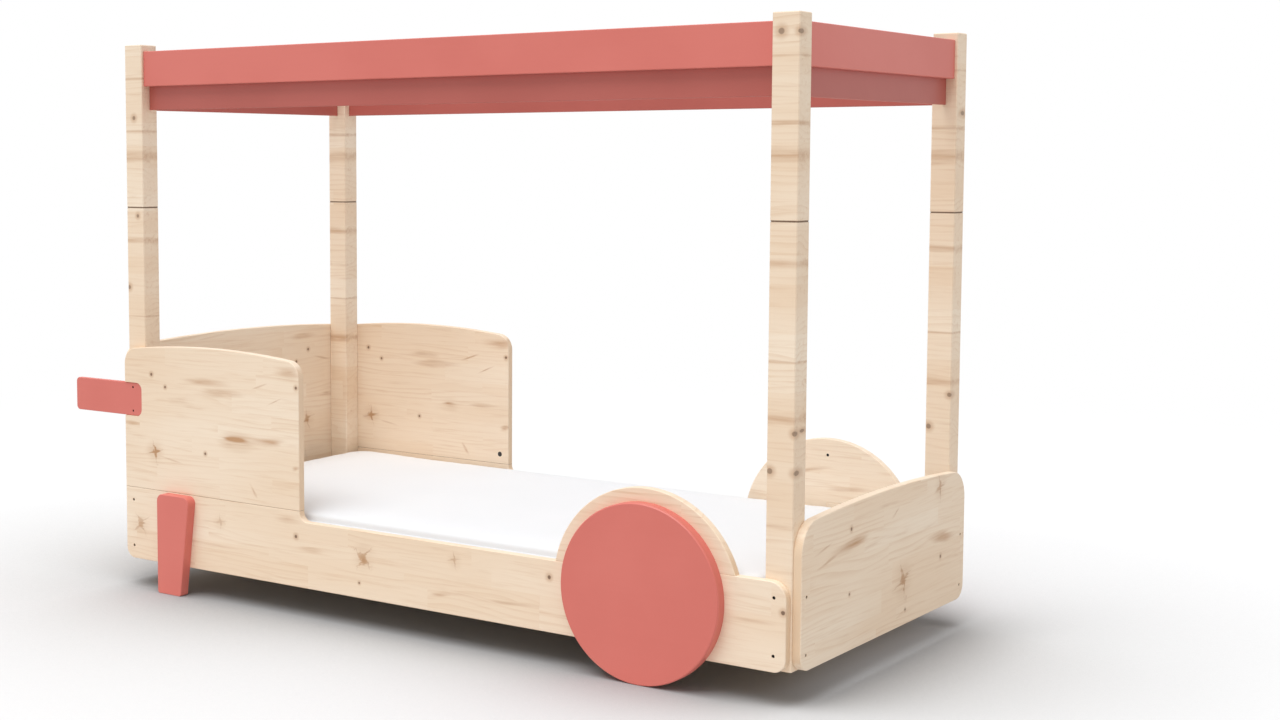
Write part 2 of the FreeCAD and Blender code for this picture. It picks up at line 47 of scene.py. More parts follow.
# ---- pine boards ----
# The rails, guards, arches and end panels are solid pine glued up from finger-jointed
# staves, planed, sanded and finished with a clear matt lacquer. The grain lies level on
# all of them, with a few small dark knots, branched pale ones and brown streaks.
class Wire:
    """A material's socket, so that shader maths reads as plain sums."""

    def __init__(self, tree, socket=None):
        self.tree = tree
        self.socket = socket

    def node(self, kind, settings=None, inputs=None, output=0):
        """Adds a node: first its settings, then the values or links of its sockets."""
        node = self.tree.nodes.new("ShaderNode" + kind)
        for name, value in (settings or {}).items():
            setattr(node, name, value)
        for name, value in (inputs or {}).items():
            if isinstance(value, Wire):
                self.tree.links.new(value.socket, node.inputs[name])
            else:
                node.inputs[name].default_value = value
        return Wire(self.tree, node.outputs[output])

    def maths(self, operation, other=0.0):
        return self.node("Math", {"operation": operation}, {0: self, 1: other})

    def __add__(self, other):
        return self.maths("ADD", other)

    def __sub__(self, other):
        return self.maths("SUBTRACT", other)

    def __mul__(self, other):
        return self.maths("MULTIPLY", other)

    def __rsub__(self, other):
        return self.node("Math", {"operation": "SUBTRACT"}, {0: other, 1: self})

    __radd__ = __add__
    __rmul__ = __mul__

    def blend(self, first, second):
        """Mixes two colours by this mask."""
        return self.node("Mix", {"data_type": "RGBA"}, {0: self, 6: first, 7: second}, 2)

    def span(self, low, high, to_low=0.0, to_high=1.0):
        """Runs smoothly from one value to another as this one goes from low to high."""
        inputs = {0: self, 1: low, 2: high, 3: to_low, 4: to_high}
        return self.node("MapRange", {"interpolation_type": "SMOOTHSTEP"}, inputs)

    def noise(self, scale, detail, roughness=0.5):
        inputs = {"Vector": self, "Scale": scale, "Detail": detail, "Roughness": roughness}
        return self.node("TexNoise", {}, inputs)

    def waves(self, per_metre, detail, roughness=0.5, shift=(0, 0, 0)):
        """Noise with its own number of waves to a metre along each axis."""
        stretched = self.node("Mapping", {}, {0: self, 1: shift, 3: per_metre})
        return stretched.noise(1.0, detail, roughness)

    def cells(self):
        """A random value for each stretch of this line, no two stretches of one length."""
        settings = {"voronoi_dimensions": "1D"}
        cell = self.node("TexVoronoi", settings, {"W": self, "Scale": 1.0}, "Color")
        return self.node("SeparateColor", {}, {0: cell})

    def inside(self, place, size, turn=0.0):
        """Coordinates that are 0 at a place and 1 long at the rim of an egg shape round it."""
        inputs = {0: self, 1: place, 2: (0, 0, turn), 3: size}
        return self.node("Mapping", {"vector_type": "TEXTURE"}, inputs)

    def length(self):
        return self.node("VectorMath", {"operation": "LENGTH"}, {0: self}, "Value")

    def split(self):
        """The three numbers of these coordinates."""
        return [self.node("SeparateXYZ", {}, {0: self}, index) for index in range(3)]

    def joined(self, *others):
        """Coordinates made of this number and one or two others."""
        return self.node("CombineXYZ", {}, dict(enumerate((self, *others))))


def srgb(red, green, blue):
    """A colour that is written as it looks on a screen, from 0 to 255."""
    parts = [value / 255 for value in (red, green, blue)]
    linear = [p / 12.92 if p <= 0.04045 else ((p + 0.055) / 1.055) ** 2.4 for p in parts]
    return (*linear, 1)


def new_material(name, **constants):
    """Plain finish: gives the material, its surface shader and its Object coordinates."""
    material = bpy.data.materials.new(name)
    material.use_nodes = True
    shader = material.node_tree.nodes["Principled BSDF"]
    for socket, value in constants.items():
        shader.inputs[socket.replace("_", " ")].default_value = value
    return material, shader, Wire(material.node_tree).node("TexCoord", output="Object")


def connect(shader, **wires):
    for socket, wire in wires.items():
        wire.tree.links.new(wire.socket, shader.inputs[socket.replace("_", " ")])


def bumped(height, distance, strength):
    """Normal of a surface that rises by height times distance."""
    inputs = {"Height": height, "Distance": distance, "Strength": strength}
    return height.node("Bump", {}, inputs)


def paint_nodes(material, names):
    """Gives CAD nodes their finish."""
    for name in names:
        slots = nodes[name].data.materials
        slots.clear()
        slots.append(material)


pine_pale = srgb(250, 233, 211)
pine_warm = srgb(239, 212, 182)
pine_late = srgb(216, 178, 140)
pine_brown = srgb(196, 152, 112)
knot_ring = srgb(190, 146, 106)
knot_dark = srgb(104, 76, 56)
end_grain = srgb(226, 198, 166)
# painted shade for the groove where two pieces of a board or post meet
seam_painted_shade = srgb(128, 100, 78)

# the patterns in the wood, each with its waves to a metre along the grain, up and inwards
flow_pattern = {"per_metre": (1.5, 8.0, 8.0), "detail": 2.5}
patch_pattern = {"per_metre": (1.3, 9.0, 9.0), "detail": 2.0, "shift": (5, 0, 0)}
cloud_pattern = {"per_metre": (1.4, 5.0, 5.0), "detail": 2.0}
smudge_pattern = {
    "per_metre": (3.6, 24.0, 24.0), "detail": 3.0, "roughness": 0.6, "shift": (0, 3, 0)
}
vein_pattern = {"per_metre": (5.0, 90.0, 90.0), "detail": 3.0, "roughness": 0.6}
fibre_pattern = {"per_metre": (9.0, 330.0, 330.0), "detail": 2.0, "roughness": 0.6}
branch_pattern = {"per_metre": (70.0, 40.0, 40.0), "detail": 3.0, "roughness": 0.6}
rings_to_metre = 60.0
ring_wander = 7.0
sawn_rings_to_metre = 240.0
heart_depth = 0.06      # middle of the rings that a sawn end shows, behind the board
through = 30.0          # depth of a mark that goes right through its board
piece_shift = 19.0      # so that one row's pieces don't match the next row's
log_shift = (7.0, 3.0)  # along and across, so that each piece has its own stretch of log

# how much of a darker colour each pattern brings
cloud_share = 0.45
ring_share = (0.05, 0.3)    # in the plainest and the richest patch
vein_share = 0.3
fibre_share = 0.12
smudge_share = 0.4
seam_shade_share = 0.85


def streaked(colour, board, streaks, sweep, thread):
    """Brown streaks: lenses along the grain, their rims ragged and their middles threaded.

    Each is (place, half length, half height, turn, strength).
    """
    raggedness = (sweep - 0.5) * 2.2 + (thread - 0.5) * 1.8
    threads = thread.span(0.35, 0.62, 0.5, 1.3)
    for centre, half_length, half_height, turn, strength in streaks:
        inside = board.inside(centre, (half_length, half_height, through), turn)
        lens = (inside.length() + raggedness).span(1.25, 0.0) * threads * strength
        colour = lens.blend(colour, pine_brown)
    return colour


def starred(colour, board, stars, depth, sweep, thread):
    """Pale knots with branches: crossed arms that wander in a soft bloom.

    Each is (place, size, turn, strength).
    """
    wander_u = (board.waves(**branch_pattern) - 0.5) * 0.9
    wander_v = (thread - 0.5) * 0.8
    raggedness = (sweep - 0.5) * 1.2
    arm_share, bloom_share = 0.75, 0.4
    for centre, size, turn, strength in stars:
        inside = board.inside(centre, (size, size, depth), turn)
        u, v = inside.split()[:2]
        arms = ((u + wander_u) * (v + wander_v)).maths("ABSOLUTE").span(0.05, 0.0)
        reach = inside.length() + raggedness
        star = arms * reach.span(1.25, 0.2) * arm_share
        bloom = reach.span(1.2, 0.0) * thread.span(0.3, 0.65, 0.3, 1.0) * bloom_share
        colour = ((star + bloom) * strength).blend(colour, knot_ring)
    return colour


def knotted(colour, board, knots, depth, darkness, thread):
    """Small dead knots, each (place, radius): a dark core in a soft ring."""
    ring_reach, core_reach = (3.2, 0.8), (1.15, 0.7)    # in radii, from none to full
    ring_darkness = 0.5
    distances = [
        board.inside(centre, (radius, radius, max(radius, depth))).length()
        for centre, radius in knots
    ]
    if not distances:
        return colour
    nearest = distances[0]
    for distance in distances[1:]:
        nearest = nearest.maths("MINIMUM", distance)
    nearest = nearest + (thread - 0.5) * 0.5
    colour = (nearest.span(*ring_reach) * ring_darkness).blend(colour, knot_ring)
    return (nearest.span(*core_reach) * darkness).blend(colour, knot_dark)


def pine(name, grain, across, knots=(), stars=(), streaks=(), staves=(0.045, 0.42), seed=0.0,
         seam=None, wraps=False, depth=through, knot_darkness=0.85, contrast=0.3):
    """Lacquered pine with its grain along one axis and its staves stacked along another.

    Marks are placed by (along the grain, across it, into the board) and go that deep. Staves
    are (height, length of a finger-jointed piece), and the contrast is that between pieces.
    A seam is (place across, half width), where painted shade darkens the groove between two
    pieces.
    Grain that wraps runs on round a post's corner.
    """
    material, shader, place = new_material(name, Coat_Weight=0.06, Coat_Roughness=0.35)
    parts = dict(zip("XYZ", place.split()))
    into = ({"X", "Y", "Z"} - {grain, across}).pop()
    u, v, w = parts[grain], parts[across], parts[into]
    board = u.joined(v, w)
    run = u + w if wraps else u

    # each finger-jointed piece has its own tone and its own stretch of log
    height, length = staves
    row = (v * (1 / height) + seed).cells()
    tone = (run * (1 / length) + row * piece_shift).cells()
    log_v = v + tone * log_shift[1]
    log = (run + tone * log_shift[0]).joined(log_v, w)

    growth = log_v * rings_to_metre + log.waves(**flow_pattern) * ring_wander
    late = growth.maths("FRACT").span(0.45, 1.0)
    patch = log.waves(**patch_pattern).span(0.4, 0.7, *ring_share)
    vein = log.waves(**vein_pattern)
    smudge = log.waves(**smudge_pattern).span(0.58, 0.8)
    fibre = board.waves(**fibre_pattern)
    cloud = board.waves(**cloud_pattern, shift=(seed, 0, 0)).span(0.3, 0.7)

    colour = (cloud * cloud_share + tone * contrast).blend(pine_pale, pine_warm)
    lines = late * patch + vein.span(0.52, 0.75) * vein_share
    lines = lines + fibre.span(0.5, 0.8) * fibre_share
    colour = lines.blend(colour, pine_late)
    colour = (smudge * vein.span(0.35, 0.65) * smudge_share).blend(colour, pine_brown)

    # the marks run on from piece to piece, as in the photograph
    sweep = board.waves(**smudge_pattern)
    thread = board.waves(**vein_pattern)
    colour = streaked(colour, board, streaks, sweep, thread)
    colour = starred(colour, board, stars, depth, sweep, thread)
    colour = knotted(colour, board, knots, depth, knot_darkness, thread)

    # sawn ends show the growth rings as arcs
    if not wraps:
        facing = place.node("TexCoord", output="Normal").split()["XYZ".index(grain)]
        sawn = facing.maths("ABSOLUTE").span(0.8, 0.95)
        arc = log_v.joined(w + heart_depth).length() * sawn_rings_to_metre
        arc = arc.maths("FRACT").span(0.3, 1.0) * 0.5 + 0.25
        colour = sawn.blend(colour, arc.blend(pine_warm, end_grain))
    # painted shade: a dark line along the seam's groove, where its shadow falls
    if seam:
        seam_place, seam_half = seam
        seam_shade_mask = (v - seam_place).maths("ABSOLUTE").span(seam_half, seam_half * 0.6)
        colour = (seam_shade_mask * seam_shade_share).blend(colour, seam_painted_shade)

    connect(
        shader,
        Base_Color=colour,
        Roughness=0.45 + fibre * 0.12,
        Normal=bumped(fibre * 0.5 + late * 0.3, distance=0.0003, strength=0.35),
    )
    return material


def marked(*rows):
    """Marks given by (along, across) that go right through a board."""
    return [((along, across, 0), *rest) for along, across, *rest in rows]


# the marks lie where the boards of both long sides show them, by (along the bed, up)
knot = 0.0042
small_knot = 0.0036
guard_knots = marked(
    (-0.8275, 0.597, knot), (-0.7745, 0.5655, small_knot), (-0.6245, 0.396, small_knot),
    (-0.2965, 0.5975, knot),
)
rail_knots = marked(
    (-0.300, 0.2095, 0.0045), (0.495, 0.2085, 0.005), (1.1035, 0.2115, 0.005),
    (-0.0865, 0.116, 0.0028),
)
guard_stars = marked((-0.8165, 0.3845, 0.036, 0.25, 1.0))
rail_stars = marked(
    (-0.876, 0.176, 0.042, 0.6, 0.7), (-0.073, 0.1795, 0.044, 0.9, 0.9),
    (0.217, 0.2135, 0.024, 0.2, 0.7), (-0.572, 0.216, 0.026, 0.15, 0.5),
)
guard_streaks = marked(
    (-0.514, 0.4445, 0.036, 0.0065, 0.0, 1.3), (-0.505, 0.438, 0.060, 0.026, 0.0, 0.4),
    (-0.390, 0.4465, 0.048, 0.010, 0.05, 0.6), (-0.62, 0.5905, 0.085, 0.011, 0.0, 0.6),
    (-0.567, 0.561, 0.078, 0.014, 0.03, 0.6), (-0.318, 0.637, 0.062, 0.016, 0.0, 0.65),
    (-0.429, 0.5905, 0.030, 0.0028, 0.33, 0.7), (-0.371, 0.556, 0.034, 0.0028, 0.40, 0.8),
    (-0.447, 0.311, 0.025, 0.005, -0.95, 0.5), (-0.748, 0.366, 0.055, 0.004, -0.15, 0.5),
    (-0.905, 0.455, 0.030, 0.008, 0.0, 0.4), (-0.300, 0.386, 0.018, 0.010, 0.3, 0.7),
    (-0.330, 0.251, 0.050, 0.011, 0.0, 0.5),
)
rail_streaks = marked(
    (-0.247, 0.181, 0.045, 0.009, 0.0, 0.4), (0.386, 0.130, 0.085, 0.007, 0.05, 0.45),
    (0.172, 0.122, 0.028, 0.005, 0.1, 0.45), (1.03, 0.183, 0.060, 0.006, 0.0, 0.4),
    (0.818, 0.317, 0.080, 0.009, 0.05, 0.7), (0.70, 0.36, 0.060, 0.006, 0.2, 0.45),
)
side_pine = pine(
    "side_pine", "X", "Z", guard_knots + rail_knots, guard_stars + rail_stars,
    guard_streaks + rail_streaks, seed=0.3,
)
guard_seam = (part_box("near_guard_panel")[0].z, 0.0011)
guard_pine = pine(
    "guard_pine", "X", "Z", guard_knots, guard_stars, guard_streaks, seed=0.3, seam=guard_seam
)
for side in ("near", "far"):
    paint_nodes(side_pine, [side + "_side_rail", side + "_fender_arch"])
    paint_nodes(guard_pine, [side + "_guard_panel"])

# the end panels' marks, by (across the bed, up)
head_pine = pine(
    "head_panel_pine", "Y", "Z",
    marked((0.2935, 0.5975, knot), (0.2385, 0.564, small_knot), (-0.25, 0.50, knot)),
    marked((0.288, 0.380, 0.036, 0.3, 0.9)),
    marked(
        (0.268, 0.643, 0.06, 0.013, 0.0, 0.7), (0.361, 0.566, 0.035, 0.004, -0.2, 0.5),
        (0.378, 0.454, 0.035, 0.008, 0.0, 0.6), (-0.10, 0.33, 0.06, 0.008, 0.0, 0.5),
    ),
    seed=5.2,
)
foot_pine = pine(
    "foot_panel_pine", "Y", "Z",
    marked(
        (-0.2078, 0.356, knot), (0.303, 0.2065, knot), (0.095, 0.113, 0.003),
        (-0.2135, 0.2076, 0.003),
    ),
    marked((0.080, 0.187, 0.055, 0.35, 0.9), (0.292, 0.380, 0.042, 0.2, 0.8)),
    marked(
        (-0.194, 0.322, 0.085, 0.013, 0.05, 0.8), (0.320, 0.252, 0.075, 0.014, -0.1, 0.65),
        (-0.335, 0.335, 0.06, 0.004, 0.2, 0.6), (-0.33, 0.30, 0.05, 0.004, 0.2, 0.5),
        (0.038, 0.360, 0.025, 0.004, 0.5, 0.5),
    ),
    seed=8.8,
)
paint_nodes(head_pine, ["head_panel"])
paint_nodes(foot_pine, ["foot_panel"])


# ---- posts ----
# Each of the four posts is a lower and an upper half, pulled together by a steel stud.
# They are laminated from short blocks of pine, so that bands of lighter and darker wood
# lie one above another, with knots that come through at the corners.
post_seam = (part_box("near_foot_upper_post")[0].z, 0.0026)
near_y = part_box("near_foot_lower_post")[0].y
foot_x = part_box("near_foot_lower_post")[1].x
head_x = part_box("near_head_lower_post")[0].x
half_post = 0.0325
post_across = 0.057
far_y = -near_y - post_across   # inner faces of the far posts

# knots by (along the bed, up, across the bed, radius), and bands by (height, half height)
post_knots = {
    "near_foot": [
        (foot_x - 0.043, 1.4565, near_y, 0.0075), (foot_x, 1.455, near_y + 0.007, 0.0055),
        (foot_x - 0.0575, 0.513, near_y, 0.0065), (foot_x, 0.5126, near_y + 0.013, 0.006),
        (foot_x, 0.5985, near_y + 0.004, 0.006), (foot_x, 0.602, near_y + 0.036, 0.004),
    ],
    "far_foot": [
        (foot_x - 0.057, 0.5135, far_y, 0.0065), (foot_x - 0.004, 0.597, far_y, 0.0055),
        (foot_x, 1.30, far_y + 0.037, 0.006),
    ],
    "near_head": [
        (head_x + 0.033, 1.2985, near_y, 0.006), (head_x + 0.043, 1.030, near_y, 0.005),
        (head_x + 0.006, 0.832, near_y, 0.006),
    ],
    "far_head": [(head_x + 0.060, 1.44, far_y, 0.005), (head_x, 0.86, far_y + 0.027, 0.006)],
}
post_bands = [
    (1.193, 0.018), (1.405, 0.004), (0.963, 0.012), (0.628, 0.012), (0.752, 0.004),
    (1.262, 0.006),
]
band_length = 0.12
band_strength = 0.55
block_height = 0.062
for corner, spots in post_knots.items():
    middle_x = head_x + half_post if "head" in corner else foot_x - half_post
    post_pine = pine(
        corner + "_post_pine", "X", "Z",
        knots=[((x, z, y), radius) for x, z, y, radius in spots],
        streaks=[
            ((middle_x, z, 0), band_length, half, 0.0, band_strength) for z, half in post_bands
        ],
        staves=(block_height, 3.0), seed=3.1, seam=post_seam, wraps=True,
        depth=0.012, knot_darkness=0.6, contrast=0.45,
    )
    paint_nodes(post_pine, [corner + "_lower_post", corner + "_upper_post"])


# ---- bed base ----
# Twelve planed, unlacquered pine slats lie on a ledger along each rail. Two straps of
# woven webbing tie them together from below.
slats = sorted(name for name in nodes if name.startswith("slat_"))
paint_nodes(pine("slat_pine", "Y", "X", staves=(0.16, 5.0), seed=6.4), slats)
ledger_pine = pine("ledger_pine", "X", "Z", staves=(0.3, 9.0), seed=9.9)
paint_nodes(ledger_pine, ["near_ledger", "far_ledger"])

yarn_pitch = 0.0022
webbing, webbing_shader, webbing_place = new_material("webbing", Roughness=0.85)
x, y, z = webbing_place.split()
yarn_turn = 2 * math.pi / yarn_pitch
over = ((x + z) * yarn_turn).maths("SINE")
under = ((y + z) * yarn_turn).maths("SINE")
yarn = over * under * 0.5 + 0.5
wear = yarn * 0.6 + webbing_place.noise(scale=9.0, detail=3.0) * 0.4
connect(
    webbing_shader,
    Base_Color=wear.blend(srgb(190, 182, 166), srgb(226, 220, 206)),
    Normal=bumped(yarn, distance=0.0004, strength=0.6),
)
paint_nodes(webbing, ["near_slat_strap", "far_slat_strap"])


# ---- painted wood ----
# The canopy's fascias and liners, the wheels, legs and handles are cut from board, sanded
# and sprayed with a satin coral paint that leaves a faint skin over the grain. The liners
# are given a deeper coral: painted shade, for the shade that the fascias cast on them.
def coral_paint(name, light, deep):
    material, shader, place = new_material(name, Coat_Weight=0.05)
    broad = place.noise(scale=3.0, detail=3.0)
    skin = place.noise(scale=900.0, detail=1.0)
    grain = place.waves(per_metre=(6.0, 90.0, 90.0), detail=2.0)
    connect(
        shader,
        Base_Color=(broad.span(0.35, 0.65) * 0.55 + grain * 0.2).blend(light, deep),
        Roughness=0.4 + broad * 0.12,
        Normal=bumped(skin * 0.4 + grain * 0.6, distance=0.00012, strength=0.5),
    )
    return material


coral = coral_paint("coral_paint", srgb(221, 121, 110), srgb(213, 112, 101))
# painted shade: the liners' coral is made deeper to stand for the shade under the fascias
liner_coral_painted_shade = coral_paint("liner_painted_shade", srgb(188, 98, 88), srgb(180, 91, 81))
painted = ("_fascia", "_wheel", "_leg", "_handle")
paint_nodes(coral, [name for name in nodes if name.endswith(painted)])
paint_nodes(liner_coral_painted_shade, [name for name in nodes if name.endswith("_liner")])


# ---- fasteners ----
# Black-oxide steel screws with hexagon sockets hold the frame, zinc-plated cams, bolts and
# studs draw the boards together, and beech dowels keep them in line.
def steel(name, colour, roughness):
    material, shader, place = new_material(name, Metallic=1.0)
    brushed = place.waves(per_metre=(900.0, 900.0, 60.0), detail=2.0)
    shade = [part * 0.72 for part in colour[:3]] + [1]
    connect(
        shader,
        Base_Color=brushed.blend(colour, shade),
        Roughness=roughness + (brushed - 0.5) * 0.2,
        Normal=bumped(brushed, distance=0.00005, strength=0.4),
    )
    return material


black_steel = steel("black_steel", srgb(62, 60, 60), 0.42)
zinc_steel = steel("zinc_steel", srgb(196, 198, 200), 0.32)
dark_zinc = steel("dark_zinc", srgb(84, 82, 82), 0.5)
beech = pine("beech", "Z", "X", staves=(0.5, 5.0), seed=1.1)
paint_nodes(black_steel, ["frame_screws", "wheel_and_leg_screws", "arch_screws", "handle_screws"])
paint_nodes(zinc_steel, ["cam_bolts", "post_studs"])
paint_nodes(dark_zinc, ["cam_locks"])
paint_nodes(beech, ["board_dowels", "post_dowels"])


# ---- small screws ----
# Zinc-plated wood screws with flat countersunk heads hold each liner to its fascia, each
# ledger to its rail, and the first and last slat to the ledgers. One head is modelled and
# copied, each head flush with the wood.
screw_radius = 0.0038
screw_height = 0.003
screw_point = 0.45          # width of the head's lower end, as a share of its face's
screw_flush = 0.00015       # face, out of the wood
rim_width = 0.0004
socket_inset = 0.0014
socket_depth = 0.0011
socket_taper = 0.8
long_liner_inset, end_liner_inset = 0.09, 0.07  # first screw, in from the piece's end
ledger_inset = 0.06
slat_edge_inset = 0.025


def picked(element, test):
    """Selects in edit mode just those elements whose middle and normal or run pass a test."""
    mesh = bmesh.from_edit_mesh(bpy.context.object.data)
    bpy.ops.mesh.select_all(action="DESELECT")
    for item in getattr(mesh, element):
        points = [vert.co for vert in item.verts]
        middle = sum(points, Vector()) / len(points)
        way = points[-1] - points[0] if element == "edges" else item.normal
        item.select_set(bool(test(middle, way)))
    mesh.select_flush_mode()
    bmesh.update_edit_mesh(bpy.context.object.data)


def spread(first, last, count):
    """Places at equal steps from first to last."""
    return [first + (last - first) * step / (count - 1) for step in range(count)]


bpy.ops.object.select_all(action="DESELECT")
bpy.ops.mesh.primitive_cylinder_add(
    vertices=24, radius=screw_radius, depth=screw_height, location=(0, 0, -screw_height / 2)
)
screw_head = bpy.context.object
bpy.ops.object.transform_apply(location=True, rotation=True, scale=True)
bpy.ops.object.mode_set(mode="EDIT")
bpy.ops.mesh.select_mode(type="FACE")
picked("faces", lambda middle, way: way.z < -0.9)
bpy.ops.transform.resize(value=(screw_point, screw_point, 1))
picked("faces", lambda middle, way: way.z > 0.9)
bpy.ops.mesh.inset(thickness=rim_width)
bpy.ops.mesh.inset(thickness=socket_inset)
bpy.ops.mesh.extrude_region_move(TRANSFORM_OT_translate={"value": (0, 0, -socket_depth)})
bpy.ops.transform.resize(value=(socket_taper, socket_taper, 1))
bpy.ops.object.mode_set(mode="OBJECT")
bpy.ops.object.shade_smooth_by_angle(angle=math.radians(35))
screw_head.data.materials.append(zinc_steel)

# each place is a point on the wood and the way that the head faces
screw_places = []
for side in ("near", "far"):
    inward = 1 if side == "near" else -1
    liner_low, liner_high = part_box(side + "_canopy_liner")
    fascia_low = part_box(side + "_canopy_fascia")[0]
    face = liner_high.y if side == "near" else liner_low.y
    height = (fascia_low.z + liner_high.z) / 2
    for x in spread(liner_low.x + long_liner_inset, liner_high.x - long_liner_inset, 6):
        screw_places.append((Vector((x, face, height)), Vector((0, inward, 0))))
    ledger_low, ledger_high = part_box(side + "_ledger")
    face = ledger_high.y if side == "near" else ledger_low.y
    height = (ledger_low.z + ledger_high.z) / 2
    for x in spread(ledger_low.x + ledger_inset, ledger_high.x - ledger_inset, 7):
        screw_places.append((Vector((x, face, height)), Vector((0, inward, 0))))
    for slat in (slats[0], slats[-1]):
        slat_low, slat_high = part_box(slat)
        across = (ledger_low.y + ledger_high.y) / 2
        for x in (slat_low.x + slat_edge_inset, slat_high.x - slat_edge_inset):
            screw_places.append((Vector((x, across, slat_high.z)), Vector((0, 0, 1))))
for end in ("head", "foot"):
    inward = 1 if end == "head" else -1
    liner_low, liner_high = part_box(end + "_canopy_liner")
    fascia_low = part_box(end + "_canopy_fascia")[0]
    face = liner_high.x if end == "head" else liner_low.x
    height = (fascia_low.z + liner_high.z) / 2
    for y in spread(liner_low.y + end_liner_inset, liner_high.y - end_liner_inset, 3):
        screw_places.append((Vector((face, y, height)), Vector((inward, 0, 0))))

copies = []
for place, way in screw_places:
    copy = screw_head.copy()
    copy.data = screw_head.data.copy()
    bpy.context.scene.collection.objects.link(copy)
    turned = way.to_track_quat("Z", "Y").to_matrix().to_4x4()
    copy.matrix_world = Matrix.Translation(place + way * screw_flush) @ turned
    copies.append(copy)
bpy.data.objects.remove(screw_head)
bpy.ops.object.select_all(action="DESELECT")
for copy in copies:
    copy.select_set(True)
small_screws = copies[0]
bpy.context.view_layer.objects.active = small_screws
bpy.ops.object.join()
small_screws.name = "small_screws"
bpy.ops.object.transform_apply(location=True, rotation=True, scale=True)
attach(small_screws, "bed_frame")


# ---- mattress ----
# A foam core in a white knitted cover. Top and bottom panels are sewn to the border with
# a corded seam, and the foam swells the cover between the seams. It lies loose on the
# slats.
bpy.ops.object.select_all(action="DESELECT")
mattress_low, mattress_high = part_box("mattress")
swell = 0.005               # most that the foam pushes the cover out
draw_in = 0.002             # how far each side pulls in at its middle
crown_rise = 0.003
crown_border = 0.13         # width over which the top climbs to its crown
pad_lift = 0.0006           # clear of the slats
resting_layer = 0.004       # lowest part of the cover, which lies still on the slats
pad_corner = 0.064
pad_edge = 0.011
pad_cell = 0.014
seam_inset = 0.025
swell_frames = 20
pad_low = mattress_low + Vector((swell, swell, pad_lift))
pad_high = mattress_high - Vector((swell, swell, swell + crown_rise))
pad_middle = (pad_low + pad_high) / 2
pad_half = (pad_high - pad_low) / 2
seam_heights = (pad_low.z + seam_inset, pad_high.z - seam_inset)


def past_wall(point):
    """How far a point lies outside the upright wall of the pad, less than 0 within it."""
    over_x = abs(point.x - pad_middle.x) - (pad_half.x - pad_corner)
    over_y = abs(point.y - pad_middle.y) - (pad_half.y - pad_corner)
    beyond = math.hypot(max(over_x, 0), max(over_y, 0))
    return beyond + min(max(over_x, over_y), 0) - pad_corner


def drawn_in(point):
    """Pulls the sides in between the corners and crowns the top."""
    along = (point.x - pad_middle.x) / pad_half.x
    across = (point.y - pad_middle.y) / pad_half.y
    depth = min(max(-past_wall(point) / crown_border, 0), 1)
    rise = crown_rise * depth * depth * (3 - 2 * depth)
    return Vector((
        point.x - draw_in * along * max(1 - across * across, 0),
        point.y - draw_in * across * max(1 - along * along, 0),
        point.z + (rise if point.z > pad_middle.z else 0),
    ))


def held_still(point):
    """Whether a point of the cover lies on a seam or on the slats."""
    on_seam = min(abs(point.z - z) for z in seam_heights) < pad_cell * 0.55
    on_wall = past_wall(point) > -pad_cell / 2
    return (on_seam and on_wall) or point.z < pad_low.z + resting_layer


bpy.ops.mesh.primitive_cube_add(size=1, location=pad_middle, scale=pad_half * 2)
mattress = bpy.context.object
mattress.name = "mattress_pad"
bpy.ops.object.transform_apply(location=True, rotation=True, scale=True)
bpy.ops.object.mode_set(mode="EDIT")
bpy.ops.mesh.select_mode(type="EDGE")
picked("edges", lambda middle, way: abs(way.z) > pad_half.z)
bpy.ops.mesh.bevel(offset=pad_corner, segments=8, affect="EDGES")
picked("edges", lambda middle, way: abs(middle.z - pad_middle.z) > pad_half.z * 0.99)
bpy.ops.mesh.bevel(offset=pad_edge, segments=3, affect="EDGES")
bpy.ops.object.mode_set(mode="OBJECT")
mattress.data.remesh_voxel_size = pad_cell
bpy.ops.object.voxel_remesh()

held = mattress.vertex_groups.new(name="held")
for vertex in mattress.data.vertices:
    if held_still(vertex.co):
        held.add([vertex.index], 1.0, "REPLACE")
for vertex in mattress.data.vertices:
    vertex.co = drawn_in(vertex.co)

start = [vertex.co.copy() for vertex in mattress.data.vertices]
cloth = mattress.modifiers.new("swelling", "CLOTH")
cloth.point_cache.frame_end = swell_frames
cloth.collision_settings.use_collision = False
cover = cloth.settings
cover.quality = 4
cover.tension_stiffness = cover.compression_stiffness = 12
cover.bending_stiffness = 0.3
cover.shrink_min = -0.02
cover.vertex_group_mass = "held"
cover.use_pressure = True
cover.uniform_pressure_force = 4
cover.effector_weights.gravity = 0
for number in range(1, swell_frames + 1):
    bpy.context.scene.frame_set(number)
bpy.ops.object.modifier_apply(modifier="swelling")
bpy.context.scene.frame_set(1)
for vertex, rest in zip(mattress.data.vertices, start):
    move = vertex.co - rest
    vertex.co = rest + move * (swell / (swell + move.length))

smooth = mattress.modifiers.new("smooth", "SUBSURF")
smooth.levels = smooth.render_levels = 1
bpy.ops.object.modifier_apply(modifier="smooth")
bpy.ops.object.shade_smooth()

# white weft knit: slanting pairs of loops, a little uneven
knit_pitch = 0.0032
knit_turn = 2 * math.pi / knit_pitch
knit, knit_shader, knit_place = new_material(
    "mattress_cover", Roughness=0.9, Sheen_Weight=0.1, Sheen_Roughness=0.5
)
x, y, z = knit_place.split()
wales = ((x + z) * knit_turn).maths("SINE")
courses = ((y + z) * knit_turn * 1.4 + wales * 1.2).maths("SINE")
loops = wales * courses * 0.5 + 0.5
fuzz = knit_place.noise(scale=500.0, detail=2.0)
broad = knit_place.noise(scale=4.0, detail=3.0).span(0.3, 0.7)
mottle = broad * 0.15 + loops * 0.3 + fuzz * 0.4
connect(
    knit_shader,
    Base_Color=mottle.blend(srgb(238, 239, 241), srgb(229, 231, 234)),
    Normal=bumped(loops * 0.7 + fuzz * 0.5, distance=0.0004, strength=0.5),
)
mattress.data.materials.append(knit)
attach(mattress, "mattress")
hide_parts("mattress")

